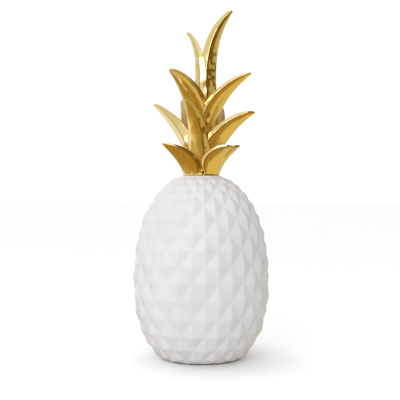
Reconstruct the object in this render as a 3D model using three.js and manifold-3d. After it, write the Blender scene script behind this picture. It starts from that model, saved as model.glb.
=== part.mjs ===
// Pineapple ornament: a white studded body and a gold leaf crown, in millimetres, +Z up, front towards -Y.
// The origin is on the axis, in the middle of the foot.
import * as THREE from 'three';
import { mergeVertices } from 'three/addons/utils/BufferGeometryUtils.js';
import Module from 'manifold-3d';

const wasm = await Module();
wasm.setup();

// Body profile, through the valleys between the studs
const bodyHeight = 161.6;
const bodyRadius = 58.7;
const widestHeight = 64;
const topPoleRise = 3.4;
const shoulderPower = 2.4;
const shoulderRound = 0.47;
const bottomPoleDrop = 11;
const flankPower = 2.1;
const flankRound = 0.42;
const tiltStep = 0.5;

// Studs: four-sided pyramids in staggered rows. A pitch is a share of the body's radius at the row.
const studColumns = 16;
const studHeight = 2.35;
const endStudShare = 0.15;
const studTurn = 3.06;
const middleRowHeight = 72;
const pitchAbove = 0.215;
const pitchGrowth = 0.043;
const pitchBelow = 0.27;
const rowMargin = 2;

// Neck and foot of the body
const neckRadius = 19;
const neckEdge = 0.8;
const footHeight = 1.2;
const footInset = 2.2;

// Crown: base disc and stem
const restGap = 0.3;
const neckLand = 2.8;
const discHeight = 1.4;
const stemBaseRadius = 13.4;
const stemTopRadius = 5;
const stemHeight = 90;
const discSides = 40;

// Leaves: what all of them share
const crownHeight = 150;
const faceArc = 58;
const faceColumns = 3;
const leafStations = 12;
const pathReach = 0.38;
const leafFullness = 2.2;
const leafBaseWidth = 0.88;
const baseReach = 0.4;
const discInset = 0.6;
const tipHalfWidth = 0.7;
const taperRound = 0.8;
const rimFade = 1.3;
const tipRim = 0.35;
const tipRimPower = 8;

const degrees = Math.PI / 180;
const crownBottom = bodyHeight + restGap;
const discRadius = neckRadius - neckLand;

function profileRadius(z) {
  const above = z > widestHeight;
  const span = above ? bodyHeight + topPoleRise - widestHeight : widestHeight + bottomPoleDrop;
  const power = above ? shoulderPower : flankPower;
  const round = above ? shoulderRound : flankRound;
  const share = Math.min(Math.abs(z - widestHeight) / span, 1);
  return bodyRadius * Math.pow(1 - Math.pow(share, power), round);
}

// Angle of the profile's outward normal above the horizontal.
function profileTilt(z) {
  const change = profileRadius(z + tiltStep) - profileRadius(z - tiltStep);
  return Math.atan2(-change, 2 * tiltStep);
}

// The next row's height, one stud pitch along the profile from this one.
function nextRow(z, pitch) {
  const half = z + 0.5 * pitch * profileRadius(z) * Math.cos(profileTilt(z));
  return z + pitch * profileRadius(half) * Math.cos(profileTilt(half));
}

// Rows from the neck down to the foot, each with its height and its count above the middle row.
function studRows() {
  const rows = [{ z: middleRowHeight, count: 0 }];
  const pitchUp = (count) => pitchAbove * (1 + pitchGrowth * count);
  for (let count = 1, z = nextRow(middleRowHeight, pitchUp(1)); z < bodyHeight - rowMargin; count += 1) {
    rows.unshift({ z, count });
    z = nextRow(z, pitchUp(count + 1));
  }
  for (let count = -1, z = nextRow(middleRowHeight, -pitchBelow); z > footHeight + rowMargin; count -= 1) {
    rows.push({ z, count });
    z = nextRow(z, -pitchBelow);
  }
  rows.push({ z: footHeight, count: rows[rows.length - 1].count - 1 });
  return rows;
}

// One ring of points, where every second one stands proud by the stud's height along the normal.
function studRing({ z, count }) {
  const radius = profileRadius(z);
  const tilt = profileTilt(z);
  const proud = studHeight * Math.min(1, radius / bodyRadius + endStudShare);
  const ring = [];
  for (let i = 0; i < 2 * studColumns; i += 1) {
    const angle = (studTurn + (i * 180) / studColumns) * degrees;
    const lift = (i + count) % 2 === 0 ? proud : 0;
    const out = radius + lift * Math.cos(tilt);
    const up = z > footHeight ? z + lift * Math.sin(tilt) : z;
    ring.push(new THREE.Vector3(out * Math.sin(angle), -out * Math.cos(angle), up));
  }
  return ring;
}

function plainRing(radius, z, count, turn) {
  const ring = [];
  for (let i = 0; i < count; i += 1) {
    const angle = turn + (i * 2 * Math.PI) / count;
    ring.push(new THREE.Vector3(radius * Math.sin(angle), -radius * Math.cos(angle), z));
  }
  return ring;
}

// Closed mesh through rings of equal count from the top down, flat at both ends.
// splitDown says which diagonal a cell takes. Each end is a fan from its last point but one,
// which on a leaf is the middle of the inner side, so that the fan stays inside the crescent.
function skin(rings, splitDown) {
  const count = rings[0].length;
  const points = rings.flat();
  const faces = [];
  for (let row = 0; row < rings.length - 1; row += 1) {
    for (let i = 0; i < count; i += 1) {
      const next = (i + 1) % count;
      const a = row * count + i;
      const b = row * count + next;
      const c = a + count;
      const d = b + count;
      if (splitDown(row, i)) {
        faces.push([a, c, d], [a, d, b]);
      } else {
        faces.push([a, c, b], [b, c, d]);
      }
    }
  }
  const last = (rings.length - 1) * count;
  const hub = count - 2;
  for (let step = 1; step < count - 1; step += 1) {
    const i = (hub + step) % count;
    const next = (hub + step + 1) % count;
    faces.push([hub, i, next], [last + hub, last + next, last + i]);
  }
  const geometry = new THREE.BufferGeometry();
  geometry.setAttribute('position', new THREE.Float32BufferAttribute(points.flatMap((p) => p.toArray()), 3));
  geometry.setIndex(faces.flat());
  return geometry;
}

function makeBody() {
  const turn = studTurn * degrees;
  const count = 2 * studColumns;
  const rows = studRows();
  const studs = rows.map(studRing);
  const neck = [
    plainRing(neckRadius - neckEdge, bodyHeight, count, turn),
    plainRing(neckRadius, bodyHeight - neckEdge, count, turn),
  ];
  const footRadius = profileRadius(footHeight) - footInset;
  const foot = [
    plainRing(footRadius, footHeight, count, turn),
    plainRing(footRadius, 0, count, turn),
  ];
  // A cell is split from valley to valley, so that each stud keeps four flat sides.
  const valleyFirst = (ring, i) => (i + ring - neck.length - rows[0].count) % 2 !== 0;
  return skin([...neck, ...studs, ...foot], valleyFirst);
}

function solidFrom(geometry) {
  return new wasm.Manifold(new wasm.Mesh({
    numProp: 3,
    vertProperties: new Float32Array(geometry.attributes.position.array),
    triVerts: new Uint32Array(geometry.index.array),
  }));
}

// Six times the signed volume under a shell's triangles: below zero for the wall of a sealed void.
function signedVolume(points, faces) {
  const corner = (i) => new THREE.Vector3().fromArray(points, 3 * i);
  let sum = 0;
  for (const [a, b, c] of faces) {
    sum += corner(a).dot(corner(b).cross(corner(c)));
  }
  return sum;
}

// The faces in groups that hang together, one for each closed shell.
function shellsOf(faces, pointCount) {
  const parent = Array.from({ length: pointCount }, (_, i) => i);
  const find = (i) => {
    let root = i;
    while (parent[root] !== root) {
      root = parent[root];
    }
    parent[i] = root;
    return root;
  };
  for (const [a, b, c] of faces) {
    parent[find(a)] = find(b);
    parent[find(b)] = find(c);
  }
  const shells = new Map();
  for (const face of faces) {
    const root = find(face[0]);
    shells.set(root, shells.get(root) ?? []);
    shells.get(root).push(face);
  }
  return [...shells.values()];
}

// A solid's mesh, with the small sealed voids between its joined pieces filled, as in a casting.
function castGeometry(solid) {
  const mesh = solid.getMesh();
  const points = mesh.vertProperties;
  const faces = [];
  for (let i = 0; i < mesh.triVerts.length; i += 3) {
    faces.push(Array.from(mesh.triVerts.slice(i, i + 3)));
  }
  const walls = shellsOf(faces, points.length / 3).filter((shell) => signedVolume(points, shell) > 0);
  const geometry = new THREE.BufferGeometry();
  geometry.setAttribute('position', new THREE.Float32BufferAttribute(points, 3));
  geometry.setIndex(walls.flat(2));
  return mergeVertices(geometry);
}

// One leaf: a thick scoop with a round outer face and flat rims, curving outwards to a blunt tip.
// base and tip are [radius, height above the crown's underside]; leans are degrees from upright.
// rim is the rim's depth at the base and near the tip. roll turns the leaf about its middle line.
// These lengths are percent of the crown's height.
// fullness says how far up the leaf stays wide, and baseWidth how wide its base is, as a share.
function leaf({
  azimuth, base, tip, baseLean, tipLean, halfWidth, rim, roll,
  fullness = leafFullness, baseWidth = leafBaseWidth,
}) {
  const percent = crownHeight / 100;
  const start = new THREE.Vector2(...base).multiplyScalar(percent);
  const end = new THREE.Vector2(...tip).multiplyScalar(percent);
  const [baseRim, endRim] = rim.map((each) => each * percent);
  const fullWidth = halfWidth * percent;
  const reach = pathReach * start.distanceTo(end);
  const lean = (angle) => new THREE.Vector2(Math.sin(angle * degrees), Math.cos(angle * degrees));
  const path = new THREE.CubicBezierCurve(
    start,
    start.clone().addScaledVector(lean(baseLean), reach),
    end.clone().addScaledVector(lean(tipLean), -reach),
    end,
  );
  const outward = new THREE.Vector3(Math.sin(azimuth * degrees), -Math.cos(azimuth * degrees), 0);
  const across = new THREE.Vector3(Math.cos(azimuth * degrees), Math.sin(azimuth * degrees), 0);
  const up = new THREE.Vector3(0, 0, 1);
  const fullArc = faceArc * degrees;
  // At its base the face follows the circle of the stem or the disc that it grows from.
  const baseArc = Math.asin(Math.min(Math.sin(fullArc), (fullWidth * baseWidth) / start.x));
  const rings = [];
  for (let station = leafStations; station >= 0; station -= 1) {
    const share = Math.sin((station / leafStations) * 0.5 * Math.PI);
    const rise = Math.min(1, share / baseReach);
    const centre = path.getPoint(share);
    const along = path.getTangent(share);
    const taper = Math.pow(Math.max(0, 1 - Math.pow(share, fullness)), taperRound);
    const spread = baseWidth + (1 - baseWidth) * rise * (2 - rise);
    const width = tipHalfWidth + (fullWidth - tipHalfWidth) * taper * spread;
    const ease = tipRim + (1 - tipRim) * Math.sqrt(Math.max(0, 1 - Math.pow(share, tipRimPower)));
    const depth = (endRim + (baseRim - endRim) * Math.pow(1 - share, rimFade)) * ease;
    const arc = baseArc + (fullArc - baseArc) * rise;
    const origin = outward.clone().multiplyScalar(centre.x).addScaledVector(up, crownBottom + centre.y);
    const direction = outward.clone().multiplyScalar(along.x).addScaledVector(up, along.y);
    const facing = outward.clone().multiplyScalar(along.y).addScaledVector(up, -along.x);
    facing.applyAxisAngle(direction, roll * degrees);
    const side = across.clone().applyAxisAngle(direction, roll * degrees);
    const radius = width / Math.sin(arc);
    const place = (part, inset) => origin.clone()
      .addScaledVector(side, radius * Math.sin(part * arc))
      .addScaledVector(facing, radius * (Math.cos(part * arc) - 1) - inset);
    const ring = [];
    for (let i = -faceColumns; i <= faceColumns; i += 1) {
      ring.push(place(i / faceColumns, 0));
    }
    ring.push(place(1, depth), place(0, depth), place(-1, depth));
    rings.push(ring);
  }
  return skin(rings, () => true);
}

// Azimuths are degrees round from the front, positive to the right.
const discBase = [((discRadius - discInset) * 100) / crownHeight, 0];
const leaves = [
  // Lowest tier, on the disc
  {
    azimuth: -63, base: discBase, tip: [25.67, 18.27],
    baseLean: 17, tipLean: 50, halfWidth: 9.73, rim: [2.93, 1], roll: 2,
    baseWidth: 0.9,
  },
  {
    azimuth: 56, base: discBase, tip: [22.27, 16.33],
    baseLean: 12, tipLean: 68, halfWidth: 9.73, rim: [2.27, 1.13], roll: -2,
    baseWidth: 0.7,
  },
  {
    azimuth: 114, base: discBase, tip: [26, 18.27],
    baseLean: 21, tipLean: 54, halfWidth: 9.6, rim: [4.33, 1.33], roll: 0,
  },
  {
    azimuth: -155, base: discBase, tip: [26.67, 17.67],
    baseLean: 20, tipLean: 60, halfWidth: 9.33, rim: [3.67, 1.2], roll: 0,
  },
  // Second tier
  {
    azimuth: -119, base: [8.67, 10], tip: [34, 44],
    baseLean: 28, tipLean: 47, halfWidth: 9.07, rim: [6, 2.27], roll: 13,
  },
  {
    azimuth: -28, base: [7.67, 2.67], tip: [19.2, 42.93],
    baseLean: 12, tipLean: 32, halfWidth: 6.2, rim: [8.33, 3.33], roll: -12,
    fullness: 2.6,
  },
  {
    azimuth: 74, base: [6.33, 10], tip: [32.8, 36.53],
    baseLean: 38, tipLean: 63, halfWidth: 8.53, rim: [3.2, 1.6], roll: -17,
  },
  {
    azimuth: 140, base: [8, 9.33], tip: [20, 42.67],
    baseLean: 22, tipLean: 20, halfWidth: 10.33, rim: [3.33, 1.2], roll: 0,
    fullness: 4.2,
  },
  {
    azimuth: -154, base: [8, 9.33], tip: [25.33, 47.33],
    baseLean: 12, tipLean: 52, halfWidth: 9.67, rim: [4, 1.33], roll: 0,
    fullness: 4,
  },
  // Third tier
  {
    azimuth: -36, base: [6.33, 22.67], tip: [30.67, 58.8],
    baseLean: -12, tipLean: 66, halfWidth: 7.33, rim: [5.73, 2], roll: 11,
  },
  {
    azimuth: 73, base: [5.73, 23.33], tip: [30.8, 59.67],
    baseLean: 12, tipLean: 57, halfWidth: 8, rim: [3.6, 1], roll: -15,
  },
  {
    azimuth: 178, base: [6, 22.67], tip: [25.33, 54.67],
    baseLean: 8, tipLean: 62, halfWidth: 6.67, rim: [4.67, 1.33], roll: 0,
  },
  // Top tier
  {
    azimuth: 93, base: [9.33, 18.67], tip: [19, 98.47],
    baseLean: 3.6, tipLean: 34, halfWidth: 6.6, rim: [6.6, 3.07], roll: -25,
    fullness: 3.6,
  },
  {
    azimuth: -124, base: [5.67, 30.67], tip: [11, 86.53],
    baseLean: 6, tipLean: 36, halfWidth: 7.6, rim: [5.87, 2], roll: 30,
  },
];

function makeCrown() {
  const rings = [
    plainRing(stemTopRadius, crownBottom + stemHeight, discSides, 0),
    plainRing(stemBaseRadius, crownBottom + discHeight, discSides, 0),
    plainRing(discRadius, crownBottom + discHeight, discSides, 0),
    plainRing(discRadius, crownBottom, discSides, 0),
  ];
  let crown = solidFrom(skin(rings, () => true));
  for (const each of leaves) {
    crown = crown.add(solidFrom(leaf(each)));
  }
  return castGeometry(crown);
}

const ceramic = new THREE.MeshStandardMaterial({ color: 0xf0efee, roughness: 0.45, metalness: 0 });
const gold = new THREE.MeshStandardMaterial({ color: 0xe0b24a, roughness: 0.12, metalness: 1 });

const body = new THREE.Mesh(makeBody(), ceramic);
body.name = 'body';
const crown = new THREE.Mesh(makeCrown(), gold);
crown.name = 'crown';

const ornament = new THREE.Group();
ornament.add(body, crown);

export default ornament;
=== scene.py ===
"""Pineapple ornament: a white glazed fruit covered in four-sided studs, under a polished gold leaf crown.

Lengths are metres where they go to Blender. The crown's own values are written in millimetres.
"""
import math
from collections import namedtuple

import bmesh
import bpy
import numpy as np
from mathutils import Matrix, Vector


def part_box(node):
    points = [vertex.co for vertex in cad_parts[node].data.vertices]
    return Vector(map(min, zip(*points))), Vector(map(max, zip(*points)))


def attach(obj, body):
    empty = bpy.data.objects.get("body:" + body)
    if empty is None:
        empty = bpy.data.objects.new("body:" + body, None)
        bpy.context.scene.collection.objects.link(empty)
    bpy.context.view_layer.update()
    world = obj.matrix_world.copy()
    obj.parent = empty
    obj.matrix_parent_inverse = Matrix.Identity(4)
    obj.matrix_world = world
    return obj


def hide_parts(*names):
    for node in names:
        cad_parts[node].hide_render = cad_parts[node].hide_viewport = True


MM = 0.001

# Camera: lens and stand-off found from the photo, with the horizon in the middle of the frame
CAMERA_PLACE = Vector((-1.1, -689, 140.4)) * MM
CAMERA_LENS = 69.2
CAMERA_SENSOR = 36

# Body: each flat side is cut this many times, then its ridges and valleys are softened. Points closer
# than WELD are one, and faces below FOOT_HEIGHT are painted near-black as the shade under the body. Both
# are in metres.
BODY_CUTS = 3
BODY_SOFTENING = 2
SOFTENING_FACTOR = 0.5
WELD = 0.00001
FOOT_HEIGHT = 0.0011

# Crown: base disc and stem, in millimetres
DISC_RADIUS = 16.2
DISC_HEIGHT = 1.4
DISC_EDGE = 0.35
STEM_BASE_RADIUS = 13.4
STEM_TOP_RADIUS = 5
STEM_HEIGHT = 90
DISC_SIDES = 160

# Crown: creases sharper than this stay sharp, and points closer than this, in metres, are one
SHARP_ANGLE = math.radians(38)
SLIVER = 0.000001

# Leaves: how finely they are cut across and along. Columns are counted round the leaf from the left end
# of its face, so the last one is beside the left crease.
FACE_COLUMNS = 30
INNER_COLUMNS = 14
RIM_COLUMNS = 5
ROUND_STEPS = 4
STATIONS = 72
INNER_START = FACE_COLUMNS + RIM_COLUMNS + 2 * ROUND_STEPS - 1
INNER_MIDDLE = INNER_START + INNER_COLUMNS // 2
RIGHT_CREASE = FACE_COLUMNS - 2
LEFT_CREASE = -1

# Leaves: what all of them share, in millimetres or as shares of their own sizes
FACE_ARC = math.radians(58)
PATH_REACH = 0.38
FULLNESS = 2.2
BASE_WIDTH = 0.88
BASE_REACH = 0.4
TIP_HALF_WIDTH = 0.7
TAPER_ROUND = 0.8
RIM_FADE = 1.3
TIP_RIM = 0.35
TIP_RIM_POWER = 8

# Rounds along the leaves' creases and inner edges, and the most they take of a half width or rim
CREASE_ROUND = 0.2
EDGE_ROUND = 0.4
MOST_OF_WIDTH = 0.3
MOST_OF_DEPTH = 0.4

# The small dome over a leaf's tip: its height, then the size and height of each ring on it, as shares
TIP_DOME = 0.5
TIP_DOME_RINGS = ((0.75, 0.7), (0.35, 1))

# Base and tip are (radius, height). The leans from upright and the rim's depths are (at base, at tip).
# Angles are degrees, and azimuths go round from the front, positive to the right. The higher its fullness,
# the longer a leaf stays wide. Its base width is a share of its half width.
Leaf = namedtuple(
    "Leaf",
    "azimuth base tip leans half_width rim roll fullness base_width",
    defaults=(FULLNESS, BASE_WIDTH),
)
DISC_BASE = (15.6, 0)
LEAVES = {
    "lowest_left": Leaf(-63, DISC_BASE, (38.5, 27.4), (17, 50), 14.6, (4.4, 1.5), 2, base_width=0.9),
    "lowest_right": Leaf(56, DISC_BASE, (33.4, 24.5), (12, 68), 14.6, (3.4, 1.7), -2, base_width=0.7),
    "lowest_far_right": Leaf(114, DISC_BASE, (39, 27.4), (21, 54), 14.4, (6.5, 2), 0),
    "lowest_back": Leaf(-155, DISC_BASE, (40, 26.5), (20, 60), 14, (5.5, 1.8), 0),
    "second_left": Leaf(-119, (13, 15), (51, 66), (28, 47), 13.6, (9, 3.4), 13),
    "second_front": Leaf(-28, (11.5, 4), (28.8, 64.4), (12, 32), 9.3, (12.5, 5), -12, fullness=2.6),
    "second_right": Leaf(74, (9.5, 15), (49.2, 54.8), (38, 63), 12.8, (4.8, 2.4), -17),
    "second_back_right": Leaf(140, (12, 14), (30, 64), (22, 20), 15.5, (5, 1.8), 0, fullness=4.2),
    "second_back_left": Leaf(-154, (12, 14), (38, 71), (12, 52), 14.5, (6, 2), 0, fullness=4),
    "third_left": Leaf(-36, (9.5, 34), (46, 88.2), (-12, 66), 11, (8.6, 3), 11),
    "third_right": Leaf(73, (8.6, 35), (46.2, 89.5), (12, 57), 12, (5.4, 1.5), -15),
    "third_back": Leaf(178, (9, 34), (38, 82), (8, 62), 10, (7, 2), 0),
    "top_right": Leaf(93, (14, 28), (28.5, 147.7), (3.6, 34), 9.9, (9.9, 4.6), -25, fullness=3.6),
    "top_left": Leaf(-124, (8.5, 46), (16.5, 129.8), (6, 36), 11.4, (8.8, 3), 30),
}

# The crown's materials by their place in its list
POLISHED_PART, SATIN_PART, PAINTED_CREASE_PART = range(3)

# Noise textures are (scale, detail), and most of their values lie between these two
NOISE_LOW = 0.3
NOISE_HIGH = 0.7

# Glaze: tones, roughness, refraction and a fine ripple of this strength and height in metres
GLAZE_DARK = (0.80, 0.792, 0.803)
GLAZE_LIGHT = (0.86, 0.852, 0.861)
GLAZE_CLOUD = (38, 3)
GLAZE_GLOSS = (0.38, 0.5)
GLAZE_GRAIN = (900, 3)
GLAZE_IOR = 1.38
GLAZE_RIPPLE = (160, 2)
GLAZE_RIPPLE_STRENGTH = 0.35
GLAZE_RIPPLE_HEIGHT = 0.0002

# Painted shadow on the foot: near-black tones for the shade in the gap under the body
FOOT_SHADOW_DARK = (0.10, 0.09, 0.08)
FOOT_SHADOW_LIGHT = (0.16, 0.15, 0.14)
FOOT_SHADOW_NOISE = (300, 3)
FOOT_ROUGHNESS = 0.9

# Gold: roughness and tones of the polished outside, of the creases beside its rims, which are painted dark
# as a painted dark reflection, and of the satin inner sides, which mirror less
GOLD_DEEP = (0.90, 0.69, 0.29)
GOLD_PALE = (0.93, 0.73, 0.34)
CREASE_PAINTED_SHADE_DEEP = (0.24, 0.14, 0.04)
CREASE_PAINTED_SHADE_PALE = (0.38, 0.25, 0.08)
SATIN_DEEP = (0.97, 0.81, 0.43)
SATIN_PALE = (0.99, 0.87, 0.52)
POLISHED = (0.06, 0.12)
SATIN = (0.34, 0.44)
FULL_METAL = 1
SATIN_METAL = 0.2

# Gold: noise of its tone and haze, and the waves and finer ripple that a cast surface keeps
GOLD_TONE = (30, 2)
GOLD_HAZE = (220, 4)
GOLD_WAVES = (60, 1)
GOLD_RIPPLE = (260, 2)
GOLD_RIPPLE_SHARE = 0.03
GOLD_WAVE_HEIGHT = 0.0018

# Floor: for the camera it is lifted towards white by a painted glow, from SHADOW_START to SHADOW_END away
# from the place of the foot's shadow, so that the glow's fading paints a soft shadow round the foot
FLOOR_RADIUS = 40
FLOOR_SIDES = 96
FLOOR_DARK = (0.84, 0.84, 0.84)
FLOOR_LIGHT = (0.86, 0.86, 0.86)
FLOOR_CLOUD = (3, 2)
FLOOR_ROUGHNESS = 0.8
FLOOR_LIFT = 0.37
SHADOW_PLACE = (0.004, -0.022, 0)
SHADOW_START = 0.026
SHADOW_END = 0.10
SHADOW_EASE = 0.6

# Studio light: the room's level and how much it rises to the left, the front and the top
ROOM_LEVEL = 0.665
ROOM_TO_LEFT = 0.27
ROOM_TO_FRONT = 0.1
ROOM_TO_TOP = 0.1
WHITE = (1, 1, 1, 1)
WHITE_LEVEL = 1.1

# Key light, in front and on the upper left
KEY_PLACE = (-0.32, -1.15, 0.80)
KEY_TARGET = (0, 0, 0.15)
KEY_SIZE = (0.8, 0.6)
KEY_POWER = 4.25

# The warm disc that the gold mirrors, a painted reflection that glows only for reflections and is deep
# round the foot as painted shade and to the front, in metres: it turns pale from one x to the other on the
# left, and over a slanting line on the right
TABLE_PAINTED_SHADE = (0.42, 0.25, 0.05)
TABLE_PAINTED_PALE = (0.74, 0.61, 0.24)
TABLE_RADIUS = 0.85
TABLE_LEFT = (-0.75, -0.15)
TABLE_RIGHT = (0, 0.12)
TABLE_SLANT = 0.6
TABLE_PATCHES = (14, 3)
TABLE_PATCH_DEPTH = 0.15

# The room that the gold mirrors, as (azimuth, colour) all round, in degrees from the front and positive to
# the right. The higher rounds take over between two heights, which are shares of straight up.
BLACK_BROWN = (0.14, 0.08, 0.02)
DARK_BROWN = (0.16, 0.10, 0.03)
BROWN = (0.20, 0.13, 0.04)
RED_BROWN = (0.20, 0.13, 0.03)
OCHRE = (0.50, 0.41, 0.17)
PALE_GREY = (0.72, 0.72, 0.62)
COOL_WHITE = (0.95, 0.95, 1.00)
BLUE_GREY = (0.75, 0.80, 0.90)
HORIZON = (
    (-180, DARK_BROWN),
    (-172, BROWN),
    (-160, (0.85, 0.90, 1.00)),
    (-110, (0.95, 1.00, 1.10)),
    (-72, (0.82, 0.76, 0.44)),
    (-30, (0.52, 0.38, 0.14)),
    (0, (0.44, 0.31, 0.10)),
    (35, (0.24, 0.14, 0.03)),
    (68, (0.14, 0.09, 0.02)),
    (75, (0.50, 0.40, 0.18)),
    (126, (0.66, 0.56, 0.30)),
    (154, (0.72, 0.70, 0.55)),
    (166, BROWN),
    (180, DARK_BROWN),
)
MIDDLE_ROOM = (
    (-180, DARK_BROWN),
    (-172, BROWN),
    (-160, (0.74, 0.76, 0.70)),
    (-148, (0.78, 0.80, 0.72)),
    (-100, (0.64, 0.62, 0.48)),
    (-60, PALE_GREY),
    (-10, COOL_WHITE),
    (-2, COOL_WHITE),
    (3, RED_BROWN),
    (90, BLACK_BROWN),
    (112, (0.16, 0.10, 0.02)),
    (140, (0.46, 0.40, 0.22)),
    (156, (0.46, 0.40, 0.26)),
    (167, BROWN),
    (180, DARK_BROWN),
)
UPPER_ROOM = (
    (-180, BLUE_GREY),
    (-148, (0.90, 1.00, 1.20)),
    (-100, (0.70, 0.70, 0.60)),
    (-60, PALE_GREY),
    (-10, COOL_WHITE),
    (-2, COOL_WHITE),
    (3, RED_BROWN),
    (44, (0.18, 0.11, 0.03)),
    (54, OCHRE),
    (112, OCHRE),
    (121, BLACK_BROWN),
    (134, BLACK_BROWN),
    (145, (0.44, 0.37, 0.18)),
    (165, (0.22, 0.14, 0.04)),
    (180, BLUE_GREY),
)
HIGHER_ROUNDS = (
    (MIDDLE_ROOM, (0.06, 0.14)),
    (UPPER_ROOM, (0.165, 0.195)),
)

# Blender's mix node has its colour sockets at these places
MIX_FIRST = 6
MIX_SECOND = 7
MIX_RESULT = 2


def new_object(name, data):
    """An object in the scene from its mesh, camera or light."""
    thing = bpy.data.objects.new(name, data)
    bpy.context.scene.collection.objects.link(thing)
    return thing


def mesh_from(name, points, faces):
    mesh = bpy.data.meshes.new(name)
    mesh.from_pydata([tuple(p) for p in points], [], faces)
    mesh.validate()
    mesh.update()
    return mesh


def evaluated_mesh(piece):
    """The piece's mesh with its modifiers applied."""
    graph = bpy.context.evaluated_depsgraph_get()
    return bpy.data.meshes.new_from_object(piece.evaluated_get(graph), depsgraph=graph)


def give_materials(piece, materials):
    for material in materials:
        piece.data.materials.append(material)


# Body


def make_body(node):
    """The fruit: the frame's flat-sided studs, cut finer and softened as under a glaze."""
    work = bmesh.new()
    work.from_mesh(node.data)
    bmesh.ops.remove_doubles(work, verts=work.verts, dist=WELD)
    bmesh.ops.triangulate(work, faces=work.faces)
    mesh = bpy.data.meshes.new("fruit")
    work.to_mesh(mesh)
    work.free()
    mesh.materials.clear()
    piece = new_object("fruit", mesh)
    cuts = piece.modifiers.new("cuts", "SUBSURF")
    cuts.subdivision_type = "SIMPLE"
    cuts.levels = BODY_CUTS
    soften = piece.modifiers.new("soften", "SMOOTH")
    soften.factor = SOFTENING_FACTOR
    soften.iterations = BODY_SOFTENING
    piece.data = evaluated_mesh(piece)
    piece.modifiers.clear()
    piece.data.name = "fruit"
    piece.data.shade_smooth()
    # Faces below FOOT_HEIGHT get the foot's painted shadow.
    for face in piece.data.polygons:
        face.material_index = int(face.center.z < FOOT_HEIGHT)
    return piece


# Crown


def leaning(angle):
    """The direction, as (radius, height), that leans outwards from upright by an angle."""
    return np.array([math.sin(angle), math.cos(angle)])


def turned(direction, axis, angle):
    """A direction turned by an angle about an axis at right angles to it."""
    return direction * math.cos(angle) + np.cross(axis, direction) * math.sin(angle)


def bezier(points, share):
    """A cubic curve's place and direction at a share of its parameter."""
    a, b, c, d = points
    rest = 1 - share
    place = rest**3 * a + 3 * rest**2 * share * b + 3 * rest * share**2 * c + share**3 * d
    slope = 3 * rest**2 * (b - a) + 6 * rest * share * (c - b) + 3 * share**2 * (d - c)
    return place, slope / np.linalg.norm(slope)


def rounded(corner, before, after, radius):
    """Points of a small round in place of a corner, between two neighbouring points."""
    corner, before, after = (np.array(p) for p in (corner, before, after))
    towards = before - corner
    away = after - corner
    start = corner + towards * min(1, radius / np.linalg.norm(towards))
    end = corner + away * min(1, radius / np.linalg.norm(away))
    points = []
    for step in range(ROUND_STEPS + 1):
        share = step / ROUND_STEPS
        points.append((1 - share) ** 2 * start + 2 * share * (1 - share) * corner + share**2 * end)
    return points


def section(width, arc, depth):
    """A leaf's outline across: the round face, then the right rim, the inner side and the left rim."""
    radius = width / math.sin(arc)

    def place(part, inset):
        return np.array([radius * math.sin(part * arc), radius * (math.cos(part * arc) - 1) - inset])

    crease = min(CREASE_ROUND, MOST_OF_WIDTH * width, MOST_OF_DEPTH * depth)
    edge = min(EDGE_ROUND, MOST_OF_WIDTH * width, MOST_OF_DEPTH * depth)
    face = [place(part, 0) for part in np.linspace(-1, 1, FACE_COLUMNS + 1)]
    inner = [place(part, depth) for part in np.linspace(1, -1, INNER_COLUMNS + 1)]
    rim_right = [face[-1] + (inner[0] - face[-1]) * s for s in np.linspace(0, 1, RIM_COLUMNS + 1)]
    rim_left = [inner[-1] + (face[0] - inner[-1]) * s for s in np.linspace(0, 1, RIM_COLUMNS + 1)]
    outline = []
    sides = [(face, crease), (rim_right, edge), (inner, edge), (rim_left, crease)]
    for k, (side, round_here) in enumerate(sides):
        following = sides[(k + 1) % len(sides)][0]
        outline += side[1:-1]
        outline += rounded(side[-1], side[-2], following[1], round_here)
    return np.array(outline)


def leaf_path(values):
    """The four control points of the curve along the outer face's ridge, as (radius, height)."""
    start, end = np.array(values.base, float), np.array(values.tip, float)
    reach = PATH_REACH * np.linalg.norm(end - start)
    base_lean, tip_lean = (math.radians(lean) for lean in values.leans)
    return [start, start + reach * leaning(base_lean), end - reach * leaning(tip_lean), end]


def leaf_section(values, share):
    """The leaf's outline across at a share of its length: it opens from the base and closes at the tip."""
    base_arc = math.asin(min(math.sin(FACE_ARC), values.half_width * values.base_width / values.base[0]))
    base_rim, tip_rim = values.rim
    rise = min(1, share / BASE_REACH)
    taper = max(0, 1 - share**values.fullness) ** TAPER_ROUND
    spread = values.base_width + (1 - values.base_width) * rise * (2 - rise)
    width = TIP_HALF_WIDTH + (values.half_width - TIP_HALF_WIDTH) * taper * spread
    ease = TIP_RIM + (1 - TIP_RIM) * math.sqrt(max(0, 1 - share**TIP_RIM_POWER))
    depth = (tip_rim + (base_rim - tip_rim) * (1 - share) ** RIM_FADE) * ease
    return section(width, base_arc + (FACE_ARC - base_arc) * rise, depth)


def leaf_rings(values, bottom):
    """A leaf's outlines in space, from its base to the small dome over its tip."""
    azimuth, roll = math.radians(values.azimuth), math.radians(values.roll)
    outward = np.array([math.sin(azimuth), -math.cos(azimuth), 0])
    across = np.array([math.cos(azimuth), math.sin(azimuth), 0])
    up = np.array([0, 0, 1.0])
    path = leaf_path(values)
    rings = []
    for station in range(STATIONS + 1):
        share = math.sin(station / STATIONS * math.pi / 2)
        centre, along = bezier(path, share)
        origin = outward * centre[0] + up * (bottom + centre[1])
        direction = outward * along[0] + up * along[1]
        side = turned(across, direction, roll)
        facing = turned(outward * along[1] - up * along[0], direction, roll)
        outline = leaf_section(values, share)
        rings.append(origin + outline[:, :1] * side + outline[:, 1:] * facing)
    last = rings[-1]
    middle = last.mean(axis=0)
    ahead = direction * TIP_DOME * TIP_HALF_WIDTH
    for size, height in TIP_DOME_RINGS:
        rings.append(middle + size * (last - middle) + height * ahead)
    return rings


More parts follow.
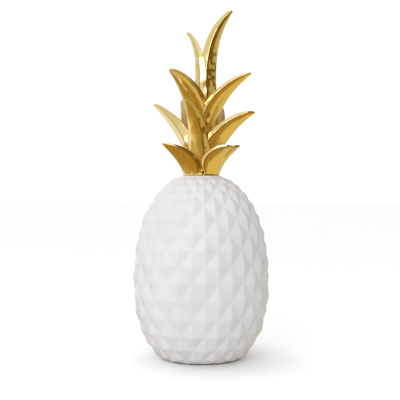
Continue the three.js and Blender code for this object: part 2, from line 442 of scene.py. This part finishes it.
def skin(rings):
    """Points and side faces of a tube through rings of equal count, and that count."""
    count = len(rings[0])
    points = np.concatenate(rings)
    faces = []
    for row in range(len(rings) - 1):
        for i in range(count):
            following = (i + 1) % count
            a, b = row * count + i, row * count + following
            faces.append((a, b, b + count, a + count))
    return points, faces, count


def finishes_across(count):
    """Each column's material: satin inside, a painted dark reflection beside the two creases, and polished
    elsewhere.
    """
    finishes = [POLISHED_PART] * count
    finishes[INNER_START:INNER_START + INNER_COLUMNS] = [SATIN_PART] * INNER_COLUMNS
    # The columns beside the creases get gold painted dark: a painted dark reflection.
    finishes[RIGHT_CREASE] = PAINTED_CREASE_PART
    finishes[LEFT_CREASE] = PAINTED_CREASE_PART
    return finishes


def leaf_mesh(name, values, bottom):
    """One leaf: a thick scoop with a round outer face and flat rims, closed at both ends."""
    rings = leaf_rings(values, bottom)
    points, faces, count = skin(rings)
    finishes = finishes_across(count) * (len(rings) - 1)
    # The end fans start on the inner side's middle, so that they stay inside the crescent.
    last = (len(rings) - 1) * count
    for step in range(1, count - 1):
        i, following = (INNER_MIDDLE + step) % count, (INNER_MIDDLE + step + 1) % count
        faces.append((INNER_MIDDLE, following, i))
        faces.append((last + INNER_MIDDLE, last + i, last + following))
    mesh = mesh_from(name, points * MM, faces)
    finishes += [POLISHED_PART] * (len(faces) - len(finishes))
    mesh.polygons.foreach_set("material_index", finishes)
    return mesh


def turned_mesh(name, profile, sides):
    """A closed solid turned round the axis, from (radius, height) points from the bottom up."""
    angles = np.arange(sides) * 2 * math.pi / sides
    rings = []
    for radius, height in profile:
        level = np.full(sides, height)
        rings.append(np.stack([radius * np.cos(angles), radius * np.sin(angles), level], axis=1))
    points, faces, count = skin(rings)
    faces.append(tuple(range(count))[::-1])
    faces.append(tuple((len(rings) - 1) * count + i for i in range(count)))
    return mesh_from(name, points * MM, faces)


def shell_of(face, rest):
    """Takes a face's shell out of the rest, going only over edges that join two faces."""
    shell = set()
    front = [face]
    while front:
        face = front.pop()
        shell.add(face)
        plain = [edge for edge in face.edges if len(edge.link_faces) == 2]
        near = {other for edge in plain for other in edge.link_faces} & rest
        rest -= near
        front.extend(near)
    return shell


def keep_main_shell(mesh):
    """Takes out the slivers of no volume that the unions leave beside the casting's one shell."""
    work = bmesh.new()
    work.from_mesh(mesh)
    bmesh.ops.remove_doubles(work, verts=work.verts, dist=SLIVER)
    bmesh.ops.dissolve_degenerate(work, edges=work.edges, dist=SLIVER)
    bmesh.ops.triangulate(work, faces=work.faces)
    rest = set(work.faces)
    main = set()
    while rest:
        main = max(main, shell_of(rest.pop(), rest), key=len)
    bmesh.ops.delete(work, geom=[face for face in work.faces if face not in main], context="FACES")
    work.to_mesh(mesh)
    work.free()


def make_crown(bottom, materials):
    """The leaf crown as one casting: the disc and the stem joined with every leaf."""
    profile = [
        (DISC_RADIUS - DISC_EDGE, bottom),
        (DISC_RADIUS, bottom + DISC_EDGE),
        (DISC_RADIUS, bottom + DISC_HEIGHT - DISC_EDGE),
        (DISC_RADIUS - DISC_EDGE, bottom + DISC_HEIGHT),
        (STEM_BASE_RADIUS, bottom + DISC_HEIGHT),
        (STEM_TOP_RADIUS, bottom + STEM_HEIGHT),
    ]
    piece = new_object("leaf_crown", turned_mesh("stem", profile, DISC_SIDES))
    give_materials(piece, materials)
    for name, values in LEAVES.items():
        part = new_object(name, leaf_mesh(name, values, bottom))
        give_materials(part, materials)
        join = piece.modifiers.new(name, "BOOLEAN")
        join.operation = "UNION"
        join.solver = "MANIFOLD"
        join.object = part
        piece.data = evaluated_mesh(piece)
        piece.modifiers.clear()
        bpy.data.objects.remove(part)
    piece.data.name = "leaf_crown"
    keep_main_shell(piece.data)
    piece.data.shade_smooth()
    piece.data.set_sharp_from_angle(angle=SHARP_ANGLE)
    return piece


# Nodes


class Graph:
    """A material's or world's node tree, with short calls to add and fill nodes."""

    def __init__(self, tree):
        self.tree = tree
        tree.nodes.clear()

    def fill(self, socket, value):
        """Links another node's output to a socket, or sets the socket's own number or colour."""
        if isinstance(value, bpy.types.NodeSocket):
            self.tree.links.new(value, socket)
        else:
            socket.default_value = value

    def add(self, kind, **inputs):
        """A new node. Each input is named as in Blender, with low lines for spaces."""
        node = self.tree.nodes.new(kind)
        for name, value in inputs.items():
            self.fill(node.inputs[name.replace("_", " ")], value)
        return node


def new_material(name):
    """A material, its empty node tree and the piece's own coordinates."""
    material = bpy.data.materials.new(name)
    material.use_nodes = True
    graph = Graph(material.node_tree)
    return material, graph, graph.add("ShaderNodeTexCoord").outputs["Object"]


def noise(graph, place, scale, detail):
    """A noise value over the given coordinates, from 0 to 1."""
    return graph.add("ShaderNodeTexNoise", Vector=place, Scale=scale, Detail=detail).outputs["Fac"]


def ranged(graph, value, low, high, start=NOISE_LOW, end=NOISE_HIGH):
    """A value mapped from start..end to low..high."""
    limits = {"From_Min": start, "From_Max": end, "To_Min": low, "To_Max": high}
    return graph.add("ShaderNodeMapRange", Value=value, **limits).outputs["Result"]


def maths(graph, operation, *values):
    """A maths node's result from sockets or numbers."""
    node = graph.tree.nodes.new("ShaderNodeMath")
    node.operation = operation
    for value, socket in zip(values, node.inputs):
        graph.fill(socket, value)
    return node.outputs[0]


def vector_measure(graph, operation, place, *others):
    """A vector maths node's number, such as a length or a distance to another place."""
    node = graph.tree.nodes.new("ShaderNodeVectorMath")
    node.operation = operation
    for value, socket in zip((place, *others), node.inputs):
        graph.fill(socket, value)
    return node.outputs["Value"]


def rgba(colour):
    """A colour's socket as it is, or its three numbers with full opacity."""
    return colour if isinstance(colour, bpy.types.NodeSocket) else (*colour, 1)


def blended(graph, share, first, second):
    """A colour between two by a share."""
    node = graph.tree.nodes.new("ShaderNodeMix")
    node.data_type = "RGBA"
    graph.fill(node.inputs["Factor"], share)
    graph.fill(node.inputs[MIX_FIRST], rgba(first))
    graph.fill(node.inputs[MIX_SECOND], rgba(second))
    return node.outputs[MIX_RESULT]


def mixed(graph, share, first, second):
    """A shader between two by a share."""
    node = graph.add("ShaderNodeMixShader", Fac=share)
    graph.fill(node.inputs[1], first)
    graph.fill(node.inputs[2], second)
    return node.outputs[0]


# Materials


def ceramic_material():
    """White satin glaze: faint cloudiness, uneven gloss and a very fine ripple."""
    material, graph, place = new_material("white glaze")
    cloud = ranged(graph, noise(graph, place, *GLAZE_CLOUD), 0, 1)
    bump = graph.add(
        "ShaderNodeBump",
        Strength=GLAZE_RIPPLE_STRENGTH,
        Distance=GLAZE_RIPPLE_HEIGHT,
        Height=noise(graph, place, *GLAZE_RIPPLE),
    )
    shader = graph.add(
        "ShaderNodeBsdfPrincipled",
        Base_Color=blended(graph, cloud, GLAZE_DARK, GLAZE_LIGHT),
        Roughness=ranged(graph, noise(graph, place, *GLAZE_GRAIN), *GLAZE_GLOSS),
        IOR=GLAZE_IOR,
        Normal=bump.outputs["Normal"],
    )
    graph.add("ShaderNodeOutputMaterial", Surface=shader.outputs["BSDF"])
    return material


def foot_shadow_material():
    """The foot's faces, painted near-black as the shade in the gap under the body, which stands on them.
    """
    material, graph, place = new_material("painted foot shadow")
    shadow_noise = ranged(graph, noise(graph, place, *FOOT_SHADOW_NOISE), 0, 1)
    shader = graph.add(
        "ShaderNodeBsdfPrincipled",
        Base_Color=blended(graph, shadow_noise, FOOT_SHADOW_DARK, FOOT_SHADOW_LIGHT),
        Roughness=FOOT_ROUGHNESS,
    )
    graph.add("ShaderNodeOutputMaterial", Surface=shader.outputs["BSDF"])
    return material


def gold_material(name, gloss, tones, metal):
    """Gold plating of a given range of roughness and tones, with a faintly uneven surface."""
    material, graph, place = new_material(name)
    tone = ranged(graph, noise(graph, place, *GOLD_TONE), 0, 1)
    waves = noise(graph, place, *GOLD_WAVES)
    ripple = noise(graph, place, *GOLD_RIPPLE)
    height = maths(graph, "MULTIPLY_ADD", ripple, GOLD_RIPPLE_SHARE, waves)
    bump = graph.add("ShaderNodeBump", Strength=1, Distance=GOLD_WAVE_HEIGHT, Height=height)
    shader = graph.add(
        "ShaderNodeBsdfPrincipled",
        Base_Color=blended(graph, tone, *tones),
        Metallic=metal,
        Roughness=ranged(graph, noise(graph, place, *GOLD_HAZE), *gloss),
        Normal=bump.outputs["Normal"],
    )
    graph.add("ShaderNodeOutputMaterial", Surface=shader.outputs["BSDF"])
    return material


def floor_with_painted_shadow(graph, place, seen_by_camera):
    """The floor itself, pale, with a painted glow for the camera that lifts it to white and fades near the
    foot as a painted shadow.
    """
    cloud = ranged(graph, noise(graph, place, *FLOOR_CLOUD), 0, 1)
    shader = graph.add(
        "ShaderNodeBsdfPrincipled",
        Base_Color=blended(graph, cloud, FLOOR_DARK, FLOOR_LIGHT),
        Roughness=FLOOR_ROUGHNESS,
    )
    # Painted shadow: the glow is gone near the shadow place and comes back further out.
    reach = vector_measure(graph, "DISTANCE", place, SHADOW_PLACE)
    away = ranged(graph, reach, 0, 1, SHADOW_START, SHADOW_END)
    seen = maths(graph, "MULTIPLY", seen_by_camera, FLOOR_LIFT)
    lift = maths(graph, "MULTIPLY", seen, maths(graph, "POWER", away, SHADOW_EASE))
    glow = graph.add("ShaderNodeEmission", Strength=lift)
    total = graph.add("ShaderNodeAddShader")
    graph.fill(total.inputs[0], shader.outputs["BSDF"])
    graph.fill(total.inputs[1], glow.outputs["Emission"])
    return total.outputs["Shader"]


def painted_table_reflection(graph, place):
    """A painted reflection of the floor for the gold: a round glowing disc, deep round the foot as painted
    shade and pale further out, with patches.
    """
    sides = graph.add("ShaderNodeSeparateXYZ", Vector=place)
    on_left = ranged(graph, sides.outputs["X"], 1, 0, *TABLE_LEFT)
    slant = maths(graph, "MULTIPLY_ADD", sides.outputs["Y"], TABLE_SLANT, sides.outputs["X"])
    on_right = ranged(graph, slant, 0, 1, *TABLE_RIGHT)
    patches = ranged(graph, noise(graph, place, *TABLE_PATCHES), -TABLE_PATCH_DEPTH, TABLE_PATCH_DEPTH)
    paleness = maths(graph, "ADD", maths(graph, "MAXIMUM", on_left, on_right), patches)
    # Painted reflection: a glow seen only by glossy rays, deep round the foot as painted shade.
    warm = graph.add("ShaderNodeEmission", Color=blended(graph, paleness, TABLE_PAINTED_SHADE, TABLE_PAINTED_PALE))
    beyond = graph.add("ShaderNodeBsdfTransparent")
    outside = maths(graph, "GREATER_THAN", vector_measure(graph, "LENGTH", place), TABLE_RADIUS)
    return mixed(graph, outside, warm.outputs["Emission"], beyond.outputs["BSDF"])


def floor_material():
    """A pale sweep, which the camera sees lifted to white with a painted shadow, and the gold mirrors as a
    painted warm reflection.
    """
    material, graph, place = new_material("pale floor")
    path = graph.add("ShaderNodeLightPath")
    floor = floor_with_painted_shadow(graph, place, path.outputs["Is Camera Ray"])
    surface = mixed(graph, path.outputs["Is Glossy Ray"], floor, painted_table_reflection(graph, place))
    graph.add("ShaderNodeOutputMaterial", Surface=surface)
    return material


# Stage


def make_camera():
    """A level camera that looks straight to the back."""
    data = bpy.data.cameras.new("camera")
    data.lens = CAMERA_LENS
    data.sensor_width = CAMERA_SENSOR
    camera = new_object("camera", data)
    camera.location = CAMERA_PLACE
    camera.rotation_euler = (math.radians(90), 0, 0)
    bpy.context.scene.camera = camera


def make_floor():
    angles = np.arange(FLOOR_SIDES) * 2 * math.pi / FLOOR_SIDES
    points = [(FLOOR_RADIUS * math.cos(a), FLOOR_RADIUS * math.sin(a), 0) for a in angles]
    floor = new_object("floor", mesh_from("floor", points, [tuple(range(FLOOR_SIDES))]))
    give_materials(floor, [floor_material()])


def make_key_light():
    """A soft light in front, on the upper left, which looks at the ornament's middle."""
    data = bpy.data.lights.new("key", "AREA")
    data.shape = "RECTANGLE"
    data.size, data.size_y = KEY_SIZE
    data.energy = KEY_POWER
    light = new_object("key", data)
    light.location = KEY_PLACE
    view = Vector(KEY_TARGET) - Vector(KEY_PLACE)
    light.rotation_euler = view.to_track_quat("-Z", "Y").to_euler()
    light.visible_camera = False


def room_ramp(graph, share, colours):
    """A colour round the room, from its (azimuth, colour) stops."""
    ramp = graph.add("ShaderNodeValToRGB", Fac=share)
    stops = ramp.color_ramp.elements
    for azimuth, colour in colours[1:-1]:
        stops.new(azimuth / 360 + 0.5).color = rgba(colour)
    stops[0].color = rgba(colours[0][1])
    stops[-1].color = rgba(colours[-1][1])
    return ramp.outputs["Color"]


def mirrored_room(graph, x, y, z):
    """What the gold mirrors of the room: one round of colours at the horizon and two above it."""
    azimuth = maths(graph, "ARCTAN2", x, maths(graph, "MULTIPLY", y, -1))
    share = ranged(graph, azimuth, 0, 1, -math.pi, math.pi)
    seen = room_ramp(graph, share, HORIZON)
    for colours, heights in HIGHER_ROUNDS:
        seen = blended(graph, ranged(graph, z, 0, 1, *heights), seen, room_ramp(graph, share, colours))
    return seen


def make_world():
    """A pale studio, brighter on the left, in front and overhead. The camera sees it as plain white."""
    world = bpy.data.worlds.new("studio")
    bpy.context.scene.world = world
    world.use_nodes = True
    graph = Graph(world.node_tree)
    direction = graph.add("ShaderNodeTexCoord").outputs["Generated"]
    parts = graph.add("ShaderNodeSeparateXYZ", Vector=direction)
    x, y, z = (parts.outputs[axis] for axis in "XYZ")
    level = ROOM_LEVEL
    for part, rise in ((x, -ROOM_TO_LEFT), (y, -ROOM_TO_FRONT), (z, ROOM_TO_TOP)):
        level = maths(graph, "MULTIPLY_ADD", part, rise, level)
    around = graph.add("ShaderNodeBackground", Color=WHITE, Strength=level)
    mirrored = graph.add("ShaderNodeBackground", Color=mirrored_room(graph, x, y, z))
    backdrop = graph.add("ShaderNodeBackground", Color=WHITE, Strength=WHITE_LEVEL)
    path = graph.add("ShaderNodeLightPath")
    indirect = mixed(graph, path.outputs["Is Glossy Ray"], around.outputs[0], mirrored.outputs[0])
    surface = mixed(graph, path.outputs["Is Camera Ray"], indirect, backdrop.outputs[0])
    graph.add("ShaderNodeOutputWorld", Surface=surface)


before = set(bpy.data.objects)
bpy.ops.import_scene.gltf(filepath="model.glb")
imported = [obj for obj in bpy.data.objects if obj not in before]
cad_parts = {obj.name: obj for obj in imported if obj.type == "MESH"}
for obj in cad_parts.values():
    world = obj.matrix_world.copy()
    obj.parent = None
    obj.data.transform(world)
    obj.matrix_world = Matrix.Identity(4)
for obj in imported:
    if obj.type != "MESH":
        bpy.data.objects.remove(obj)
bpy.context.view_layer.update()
make_camera()
make_world()
make_floor()
make_key_light()

fruit = make_body(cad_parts["body"])
give_materials(fruit, [ceramic_material(), foot_shadow_material()])
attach(fruit, "root")
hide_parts("body")

crown_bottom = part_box("crown")[0].z / MM
polished = gold_material("polished gold", POLISHED, (GOLD_DEEP, GOLD_PALE), FULL_METAL)
satin = gold_material("satin gold", SATIN, (SATIN_DEEP, SATIN_PALE), SATIN_METAL)
# Gold painted dark for the creases: a painted dark reflection, not the metal's own tone.
shaded = gold_material("gold with painted crease shade", POLISHED, (CREASE_PAINTED_SHADE_DEEP, CREASE_PAINTED_SHADE_PALE), FULL_METAL)
leaf_crown = make_crown(crown_bottom, (polished, satin, shaded))
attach(leaf_crown, "root")
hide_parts("crown")

bpy.context.scene.view_settings.view_transform = "Standard"
